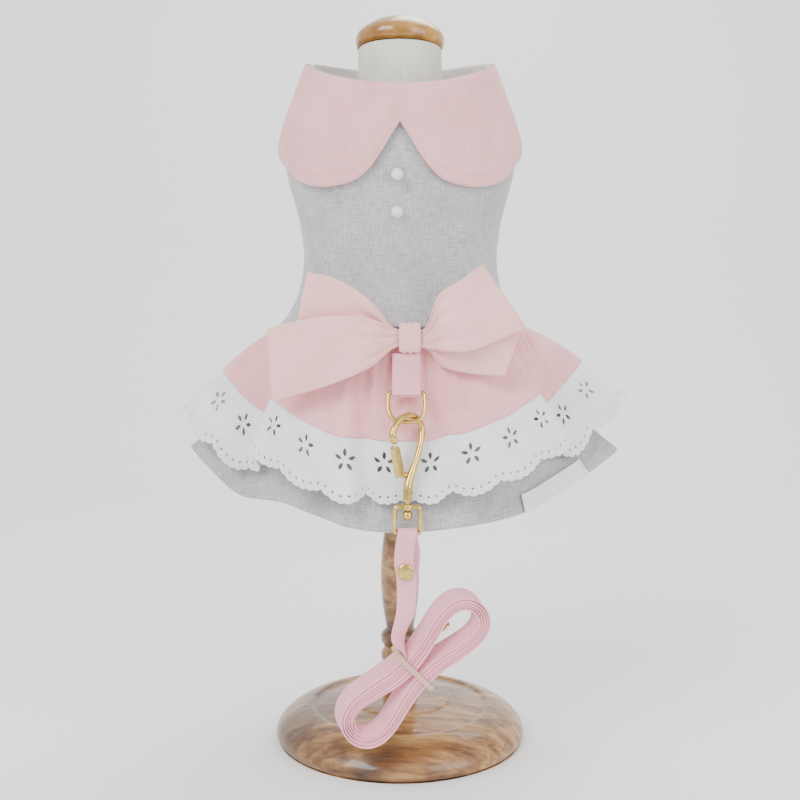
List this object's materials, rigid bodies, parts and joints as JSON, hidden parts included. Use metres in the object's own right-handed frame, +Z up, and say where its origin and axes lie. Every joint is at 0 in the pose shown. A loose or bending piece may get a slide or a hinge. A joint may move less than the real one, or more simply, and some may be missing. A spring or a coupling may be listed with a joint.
{
  "type": "dog dress on a display stand",
  "caption": "Small dog's harness dress with collar, ribbon bow, tiered skirt, eyelet trim and leash, on a plain turned wooden display stand.",
  "frame": {"origin": "centre of the stand's flat foot, on the surface it stands on", "axes": "+Z up along the stand's post, -Y out of the dress's bow side, +X to the viewer's right"},
  "size_m": [0.2618, 0.1846, 0.4197],
  "materials": {
    "turned_wood": "lacquered tropical hardwood",
    "honey_wood": "gloss lacquer, honey brown",
    "form_cloth": "painted off-white cloth",
    "grey_linen": "melange linen weave",
    "white_cotton": "plain cotton facing",
    "pink_cotton": "slub cotton weave",
    "pearl": "pearl lacquer",
    "eyelet_lace": "white eyelet embroidery",
    "white_satin": "satin label, blank",
    "pink_ribbon": "ribbed ribbon",
    "pink_webbing": "soft woven webbing",
    "gilt_metal": "polished pale gold plate",
    "elastic": "thin elastic band"
  },
  "bodies": {
    "root": {"stand_base": "turned_wood", "stand_post": "turned_wood", "form_body": "form_cloth", "neck_cap": "honey_wood", "bodice": "grey_linen", "neck_lining": "white_cotton", "collar": "pink_cotton", "pearl_upper": "pearl", "pearl_lower": "pearl", "skirt_upper": "pink_cotton", "lace_trim": "eyelet_lace", "skirt_lower": "grey_linen", "hem_label": "white_satin", "bow_front": "pink_ribbon", "bow_back": "pink_ribbon", "bow_knot": "pink_ribbon", "ring_tab": "pink_webbing", "d_ring": "gilt_metal", "hook_body": "gilt_metal", "swivel_eye": "gilt_metal", "leash_lead": "pink_webbing", "leash_hank": "pink_webbing", "leash_tie": "elastic", "leash_stud": "gilt_metal", "hank_rivet": "gilt_metal"},
    "gate": {"hook_gate": "gilt_metal"}
  },
  "joints": [
    {"name": "gate_hinge", "type": "hinge", "parent": "root", "child": "gate", "pos_m": [0, -0.08674, 0.1696], "axis": [-0.5951, 0.7999, -0.078], "range_deg": [0, 20], "stiffness_Nm_per_rad": 0.02, "springref_deg": -5.73}
  ]
}
